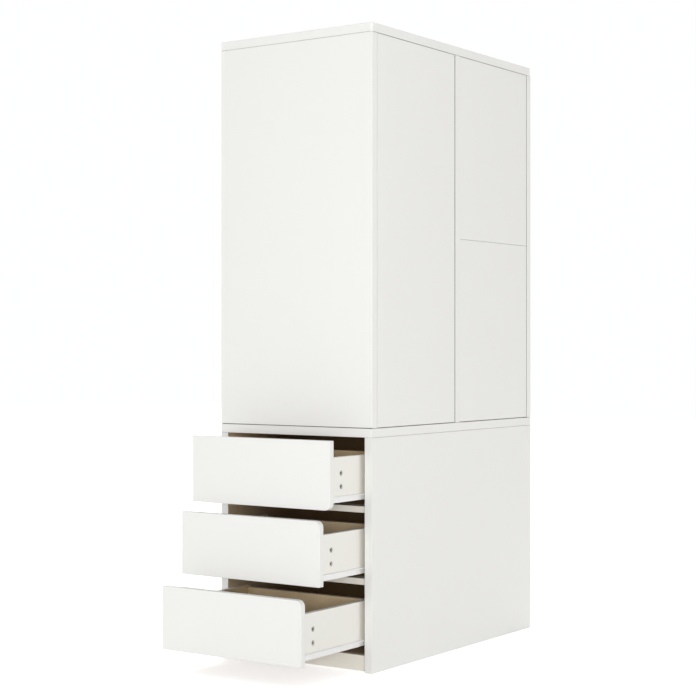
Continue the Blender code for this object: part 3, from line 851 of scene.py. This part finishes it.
# The evaluated mesh becomes the piece's own, and its modifiers go
def settle(piece):
    graph = bpy.context.evaluated_depsgraph_get()
    mesh = bpy.data.meshes.new_from_object(piece.evaluated_get(graph))
    piece.modifiers.clear()
    piece.data = mesh


# Cuts the tools out of the piece, or joins them to it, and removes them
def combine(piece, tools, operation):
    for tool in tools:
        change = piece.modifiers.new("combine", "BOOLEAN")
        change.operation = operation
        change.solver = "EXACT"
        change.object = tool
    settle(piece)
    for tool in tools:
        bpy.data.objects.remove(tool)


def smooth(piece):
    piece.data.shade_smooth()
    piece.data.set_sharp_from_angle(angle=smoothAngle)


# The driver's recess: how far it tapers, and how its faces are told in the finished head
crossRecess = {
    "tipShare": 0.5,
    "over": 0.001,  # above the head
    "reachShare": 0.52,
    "rim": 0.00025,
    "floorShare": 1.05,
}


def crossShape(length, width, depth, top):
    shape = bmesh.new()
    long, short = length / 2, width / 2
    corner = [(long, short), (short, short), (short, long)]
    outline = []
    for turn in range(4):
        swing = Matrix.Rotation(turn * math.pi / 2, 2)
        outline += [swing @ Vector(point) for point in corner]
    rings = []
    for height, share in ((top - depth, crossRecess["tipShare"]), (top + crossRecess["over"], 1.0)):
        rings.append([shape.verts.new((point.x * share, point.y * share, height)) for point in outline])
    low, high = rings
    shape.faces.new(reversed(low))
    shape.faces.new(high)
    for index in range(len(outline)):
        after = (index + 1) % len(outline)
        shape.faces.new((low[index], low[after], high[after], high[index]))
    bmesh.ops.recalc_face_normals(shape, faces=shape.faces)
    return shape


# A turned head with the cross cut into it, its recess faces marked for painted shade
def recessedHead(name, profile, look, top):
    head = meshObject(name, turnedShape(profile, look["steps"]))
    cross = crossShape(look["crossLength"], look["crossWidth"], look["crossDepth"], top)
    combine(head, [meshObject(f"{name} cross", cross)], "DIFFERENCE")
    if not head.data.polygons:
        raise ValueError(f"{name} came out empty")
    smooth(head)
    recess = head.data.attributes.new("recess", "FLOAT", "FACE")
    reach = look["crossLength"] * crossRecess["reachShare"]
    rim = top - crossRecess["rim"]
    floor = top - look["crossDepth"] * crossRecess["floorShare"]
    for face in head.data.polygons:
        centre = face.center
        inCross = math.hypot(centre.x, centre.y) < reach and floor < centre.z < rim
        recess.data[face.index].value = 1.0 if inCross else 0.0
    return head


camLock = {
    "radius": 0.0066,
    "ring": (0.78, 0.80, 0.86, 0.88),  # the groove round the cross, in shares of the radius
    "bevel": 0.97,
    "groove": 0.0003,
    "bodyShare": 0.5,  # of the depth that the bore leaves
    "steps": 32,
    "boreRadius": 0.0072,
    "boreDepth": 0.0125,
    "sunk": 0.0012,
    "setback": 0.0495,  # behind the front's back face
    "rises": (0.041, 0.078),  # above the drawer side's foot
    "rearSetback": 0.024,
    "crossLength": 0.0086,
    "crossWidth": 0.0028,
    "crossDepth": 0.0034,
    "mostTurn": 1.2,
    "seed": 8,
}


def makeCamHead():
    radius = camLock["radius"]
    groove = -camLock["groove"]
    body = -(camLock["boreDepth"] - camLock["sunk"]) * camLock["bodyShare"]
    ring = [(radius * share, height) for share, height in zip(camLock["ring"], (0, groove, groove, 0))]
    profile = [(0, 0), *ring, (radius * camLock["bevel"], 0), (radius, groove), (radius, body), (0, body)]
    return recessedHead("camHead", profile, camLock, 0)


screwHead = {
    "radius": 0.0037,
    "height": 0.0011,
    "domeStep": 0.2618,  # 15 degrees, in radians
    "steps": 32,
    "crossLength": 0.0042,
    "crossWidth": 0.0009,
    "crossDepth": 0.0008,
    "mostTurn": 6.28,
}


def makeScrewHead():
    radius, height, turn = screwHead["radius"], screwHead["height"], screwHead["domeStep"]
    dome = [(radius * math.cos(step * turn), height * math.sin(step * turn)) for step in range(6)]
    return recessedHead("screwHead", [(0, 0), *dome, (0, height)], screwHead, height)


shelfPin = {
    "radius": 0.0024,
    "length": 0.0085,
    "bevel": 0.0004,
    "collar": 0.0039,
    "collarHeight": 0.0012,
    "steps": 20,
    "holeRadius": 0.0026,
    "holeDepth": 0.009,
    "underShelf": 0.0002,
    "pitch": 0.032,
    "rows": (0.052, 0.065),  # from the bay's front and rear
    "holesUp": 5,
    "holesDown": 4,
}


def makeShelfPin():
    radius, length, bevel = shelfPin["radius"], shelfPin["length"], shelfPin["bevel"]
    collar, rise = shelfPin["collar"], shelfPin["collarHeight"]
    stem = [(0, 0), (radius, 0), (radius, length - bevel), (radius - bevel, length), (0, length)]
    ring = [(0, 0), (collar, 0), (collar, rise), (0, rise)]
    piece = meshObject("shelfPin", turnedShape(stem, shelfPin["steps"]))
    combine(piece, [meshObject("shelfPin collar", turnedShape(ring, shelfPin["steps"]))], "UNION")
    smooth(piece)
    return piece


# A fitting on every point, turned to face along the point's facing attribute
def makeFittingTree():
    tree = bpy.data.node_groups.new("fittingsOnPoints", "GeometryNodeTree")
    for name, kind in (
        ("Points", "Geometry"),
        ("Fitting", "Object"),
        ("Size", "Float"),
        ("Most Turn", "Float"),
        ("Turn Seed", "Int"),
        ("Finish", "Material"),
    ):
        tree.interface.new_socket(name, in_out="INPUT", socket_type=f"NodeSocket{kind}")
    tree.interface.new_socket("Fittings", in_out="OUTPUT", socket_type="NodeSocketGeometry")
    nodes = tree.nodes
    given = nodes.new("NodeGroupInput").outputs
    out = nodes.new("NodeGroupOutput").inputs
    facing = nodes.new("GeometryNodeInputNamedAttribute")
    facing.data_type = "FLOAT_VECTOR"
    facing.inputs["Name"].default_value = "facing"
    align = nodes.new("FunctionNodeAlignRotationToVector")
    align.axis = "Z"
    tree.links.new(facing.outputs["Attribute"], align.inputs["Vector"])
    turn = nodes.new("FunctionNodeRandomValue")
    turn.data_type = "FLOAT"
    turnIn = {socket.identifier: socket for socket in turn.inputs}
    turnOut = {socket.identifier: socket for socket in turn.outputs}
    turnIn["Min_001"].default_value = 0
    tree.links.new(given["Most Turn"], turnIn["Max_001"])
    tree.links.new(given["Turn Seed"], turnIn["Seed"])
    spin = nodes.new("FunctionNodeAxisAngleToRotation")
    spin.inputs["Axis"].default_value = (0, 0, 1)
    tree.links.new(turnOut["Value_001"], spin.inputs["Angle"])
    both = nodes.new("FunctionNodeRotateRotation")
    both.rotation_space = "LOCAL"
    tree.links.new(align.outputs[0], both.inputs[0])
    tree.links.new(spin.outputs[0], both.inputs[1])
    source = nodes.new("GeometryNodeObjectInfo")
    tree.links.new(given["Fitting"], source.inputs["Object"])
    place = nodes.new("GeometryNodeInstanceOnPoints")
    tree.links.new(given["Points"], place.inputs["Points"])
    tree.links.new(source.outputs["Geometry"], place.inputs["Instance"])
    tree.links.new(both.outputs[0], place.inputs["Rotation"])
    tree.links.new(given["Size"], place.inputs["Scale"])
    real = nodes.new("GeometryNodeRealizeInstances")
    tree.links.new(place.outputs[0], real.inputs[0])
    finish = nodes.new("GeometryNodeSetMaterial")
    tree.links.new(real.outputs[0], finish.inputs["Geometry"])
    tree.links.new(given["Finish"], finish.inputs["Material"])
    tree.links.new(finish.outputs[0], out["Fittings"])
    return tree


fittingTree = makeFittingTree()
fittingInputs = {
    item.name: item.identifier for item in fittingTree.interface.items_tree if item.in_out == "INPUT"
}


# One mesh of this body's fittings, from (place, facing) pairs
def placeFittings(name, places, fitting, finish, body, mostTurn=0.0, seed=1, size=1.0):
    mesh = bpy.data.meshes.new(name)
    mesh.from_pydata([place for place, facing in places], [], [])
    attribute = mesh.attributes.new("facing", "FLOAT_VECTOR", "POINT")
    attribute.data.foreach_set("vector", [part for place, facing in places for part in facing])
    piece = bpy.data.objects.new(name, mesh)
    bpy.context.scene.collection.objects.link(piece)
    spread = piece.modifiers.new("fittings", "NODES")
    spread.node_group = fittingTree
    for label, value in (
        ("Fitting", fitting),
        ("Size", size),
        ("Most Turn", mostTurn),
        ("Turn Seed", seed),
        ("Finish", finish),
    ):
        spread[fittingInputs[label]] = value
    settle(piece)
    piece.data.materials.clear()
    piece.data.materials.append(finish)
    piece.data.polygons.foreach_set("material_index", [0] * len(piece.data.polygons))
    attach(piece, body)


boreTool = {"steps": 24, "over": 0.002}


# The board again, with round bores: (mouth, way in, radius, depth)
def boredCopy(node, bores, material, body):
    shape = bmesh.new()
    shape.from_mesh(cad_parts[node].data)
    bmesh.ops.remove_doubles(shape, verts=shape.verts, dist=weldDistances["board"])
    board = meshObject(f"{node}_bored", shape)
    over = boreTool["over"]
    tools = []
    for mouth, way, radius, depth in bores:
        outline = [(0, -over), (radius, -over), (radius, depth), (0, depth)]
        tool = meshObject("bore", turnedShape(outline, boreTool["steps"]))
        tool.data.transform(Vector((0, 0, 1)).rotation_difference(Vector(way)).to_matrix().to_4x4())
        tool.data.transform(Matrix.Translation(Vector(mouth)))
        tools.append(tool)
    combine(board, tools, "DIFFERENCE")
    board.data.materials.clear()
    board.data.materials.append(material)
    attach(board, body)
    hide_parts(node)


camHead = makeCamHead()
screwTemplate = makeScrewHead()
pinTemplate = makeShelfPin()


# Two cam locks behind the front, two more that hold the back
def camPlaces(drawer, side, outward):
    low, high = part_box(f"{drawer}_side_{side}")
    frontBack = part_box(f"{drawer}_front")[1].x
    face = low.y if outward < 0 else high.y
    xs = (frontBack + camLock["setback"], high.x - camLock["rearSetback"])
    return [(x, face, low.z + rise) for x in xs for rise in camLock["rises"]]


def addCamLocks():
    radius, depth = camLock["boreRadius"], camLock["boreDepth"]
    for drawer in drawers:
        heads = []
        for side, outward in (("near", -1), ("far", 1)):
            node = f"{drawer}_side_{side}"
            places = camPlaces(drawer, side, outward)
            bores = [(place, (0, -outward, 0), radius, depth) for place in places]
            boredCopy(node, bores, drawerBoards[node], drawer)
            for x, y, z in places:
                heads.append(((x, y - outward * camLock["sunk"], z), (0, outward, 0)))
        placeFittings(
            f"{drawer}_cam_locks",
            heads,
            camHead,
            zinc,
            drawer,
            mostTurn=camLock["mostTurn"],
            seed=camLock["seed"],
        )


runnerScrew = {
    "legShares": (0.08, 0.45, 0.80),  # along the drawer's member
    "legRise": 0.0075,
    "legThickness": 0.0015,
    "slotShares": (0.12, 0.5, 0.88),  # along the channel
    "webThickness": 0.0012,
    "size": 0.85,
    "legSeed": 3,
    "slotSeed": 5,
}


# Pan heads along each drawer member's leg, and in the channels' slots
def addRunnerScrews():
    slotHeads = []
    for drawer in drawers:
        legHeads = []
        for side, outward in (("near", -1), ("far", 1)):
            low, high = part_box(f"{drawer}_runner_{side}")
            sideLow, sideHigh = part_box(f"{drawer}_side_{side}")
            legFace = (sideLow.y if outward < 0 else sideHigh.y) + outward * runnerScrew["legThickness"]
            for share in runnerScrew["legShares"]:
                place = (low.x + share * (high.x - low.x), legFace, low.z + runnerScrew["legRise"])
                legHeads.append((place, (0, outward, 0)))
            low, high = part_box(f"{drawer}_channel_{side}")
            webFace = (low.y if outward < 0 else high.y) - outward * runnerScrew["webThickness"]
            for share in runnerScrew["slotShares"]:
                place = (low.x + share * (high.x - low.x), webFace, (low.z + high.z) / 2)
                slotHeads.append((place, (0, -outward, 0)))
        placeFittings(
            f"{drawer}_runner_screws",
            legHeads,
            screwTemplate,
            lacquered,
            drawer,
            mostTurn=screwHead["mostTurn"],
            seed=runnerScrew["legSeed"],
            size=runnerScrew["size"],
        )
    placeFittings(
        "channel_screws",
        slotHeads,
        screwTemplate,
        nickel,
        "carcass",
        mostTurn=screwHead["mostTurn"],
        seed=runnerScrew["slotSeed"],
        size=runnerScrew["size"],
    )


hingeScrew = {
    "plateThickness": 0.003,
    "plateSetback": 0.037,  # behind the door's back
    "plateHalfPitch": 0.0165,
    "earSetback": 0.006,  # further in than the cups' centre line
    "earHalfPitch": 0.025,
    "earSize": 0.9,
    "plateSeed": 7,
    "earSeed": 9,
}


# Two in each plate's wings and two in each cup's ears
def addHingeScrews():
    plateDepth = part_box("door_tall")[0].y + doorCup["boardThickness"] + hingeScrew["plateSetback"]
    plateHeads = []
    earHeads = {door: [] for door in hingeSides}
    for node in sorted(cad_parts):
        if not node.startswith("hinge_arm"):
            continue
        door = "door_" + node.split("_")[2]
        low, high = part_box(node)
        middle = (low.z + high.z) / 2
        inward = -hingeSides[door]
        plateFace = (low.x if inward > 0 else high.x) + inward * hingeScrew["plateThickness"]
        earLine = cupLine(door, hingeScrew["earSetback"])
        for way in (-1, 1):
            height = middle + way * hingeScrew["plateHalfPitch"]
            plateHeads.append(((plateFace, plateDepth, height), (inward, 0, 0)))
            height = middle + way * hingeScrew["earHalfPitch"]
            earHeads[door].append(((earLine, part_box(door)[1].y, height), (0, 1, 0)))
    placeFittings(
        "hinge_plate_screws",
        plateHeads,
        screwTemplate,
        nickel,
        "carcass",
        mostTurn=screwHead["mostTurn"],
        seed=hingeScrew["plateSeed"],
    )
    for door, heads in earHeads.items():
        placeFittings(
            f"{door}_cup_screws",
            heads,
            screwTemplate,
            nickel,
            door,
            mostTurn=screwHead["mostTurn"],
            seed=hingeScrew["earSeed"],
            size=hingeScrew["earSize"],
        )


# Two rows of pin holes in the side and in the divider, and the four pins under the loose shelf
def addShelfPins():
    bayLow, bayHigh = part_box("middle_shelf")
    rowsY = (bayLow.y + shelfPin["rows"][0], bayHigh.y - shelfPin["rows"][1])
    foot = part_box("loose_shelf")[0].z - shelfPin["radius"] - shelfPin["underShelf"]
    steps = range(-shelfPin["holesDown"], shelfPin["holesUp"] + 1)
    heights = [foot + step * shelfPin["pitch"] for step in steps]
    radius, depth = shelfPin["holeRadius"], shelfPin["holeDepth"]
    pins = []
    for node, face, way in (
        ("upper_side_far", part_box("base_end")[0].x, 1),
        ("divider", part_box("divider")[1].x, -1),
    ):
        bores = [((face, y, height), (way, 0, 0), radius, depth) for y in rowsY for height in heights]
        boredCopy(node, bores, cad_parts[node].data.materials[0], "carcass")
        pins += [((face, y, foot), (-way, 0, 0)) for y in rowsY]
    placeFittings("shelf_pins", pins, pinTemplate, nickel, "carcass")


addCamLocks()
addRunnerScrews()
addHingeScrews()
addShelfPins()
for template in (camHead, screwTemplate, pinTemplate):
    bpy.data.objects.remove(template)
print("small fittings placed")


# Floor, light and camera

floorSetup = {
    "size": 30,
    "drop": 0.0005,
    "color": (0.93, 0.93, 0.92),
    "roughness": 0.9,
    "whitening": 0.66,  # what the camera sees on top of the lit floor
}

skySetup = {
    "strength": 0.455,
    "color": (0.995, 1.0, 1.0),
}

lampSetup = {
    "size": 2.0,
    "target": (0, 0, 0.9),
}

# name: place, strength in watts and colour
lamps = {
    "end lamp": ((-7.8, 2.3, 1.1), 60, (1.0, 1.0, 0.995)),
    "camera lamp": ((-6.55, -4.6, 1.05), 266, (1.0, 1.0, 0.995)),
    "front lamp": ((1.2, -8.0, 1.5), 72, (1.0, 0.965, 0.95)),
    "rear lamp": ((4.6, 4.2, 5.4), 230, (1.0, 1.0, 0.995)),
}

cameraSetup = {
    "place": (-4.164, -2.765, 0.900),
    "pitch": 90,  # level
    "heading": -55.18,
    "lens": 83.79,
    "sensor": 36,
}


# 1 for what the camera sees, straight or in a gloss or through glass
def seenByCamera(tree):
    rays = tree.nodes.new("ShaderNodeLightPath").outputs
    indirect = calc(tree, "MAXIMUM", rays["Is Glossy Ray"], rays["Is Transmission Ray"])
    return calc(tree, "MAXIMUM", rays["Is Camera Ray"], indirect)


def addFloor():
    shape = bmesh.new()
    bmesh.ops.create_grid(shape, x_segments=1, y_segments=1, size=floorSetup["size"] / 2)
    floor = meshObject("studio_floor", shape)
    floor.data.transform(Matrix.Translation((0, 0, -floorSetup["drop"])))
    material, tree, shader, point = newMaterial("studio floor paint")
    shader.inputs["Base Color"].default_value = (*floorSetup["color"], 1)
    shader.inputs["Roughness"].default_value = floorSetup["roughness"]
    shader.inputs["Emission Color"].default_value = (1, 1, 1, 1)
    glow = product(tree, seenByCamera(tree), floorSetup["whitening"])
    tree.links.new(glow, shader.inputs["Emission Strength"])
    floor.data.materials.append(material)


def addSky():
    world = bpy.data.worlds.new("studio")
    bpy.context.scene.world = world
    world.use_nodes = True
    tree = world.node_tree
    sky = tree.nodes["Background"]
    sky.inputs["Color"].default_value = (*skySetup["color"], 1)
    strength = ramp(tree, seenByCamera(tree), 0.0, 1.0, skySetup["strength"], 1.0)
    tree.links.new(strength, sky.inputs["Strength"])


def addLamp(name, place, strength, color):
    lamp = bpy.data.lights.new(name, "AREA")
    lamp.shape = "SQUARE"
    lamp.size = lampSetup["size"]
    lamp.energy = strength
    lamp.color = color
    holder = bpy.data.objects.new(name, lamp)
    holder.location = place
    aim = Vector(lampSetup["target"]) - Vector(place)
    holder.rotation_euler = aim.to_track_quat("-Z", "Y").to_euler()
    bpy.context.scene.collection.objects.link(holder)


def addCamera():
    camera = bpy.data.cameras.new("photo camera")
    camera.lens = cameraSetup["lens"]
    camera.sensor_width = cameraSetup["sensor"]
    holder = bpy.data.objects.new("photo camera", camera)
    holder.location = cameraSetup["place"]
    holder.rotation_euler = (math.radians(cameraSetup["pitch"]), 0, math.radians(cameraSetup["heading"]))
    bpy.context.scene.collection.objects.link(holder)
    bpy.context.scene.camera = holder


addFloor()
addSky()
for name, (place, strength, color) in lamps.items():
    addLamp(name, place, strength, color)
addCamera()
bpy.context.scene.view_settings.view_transform = "Standard"
print("stage set")
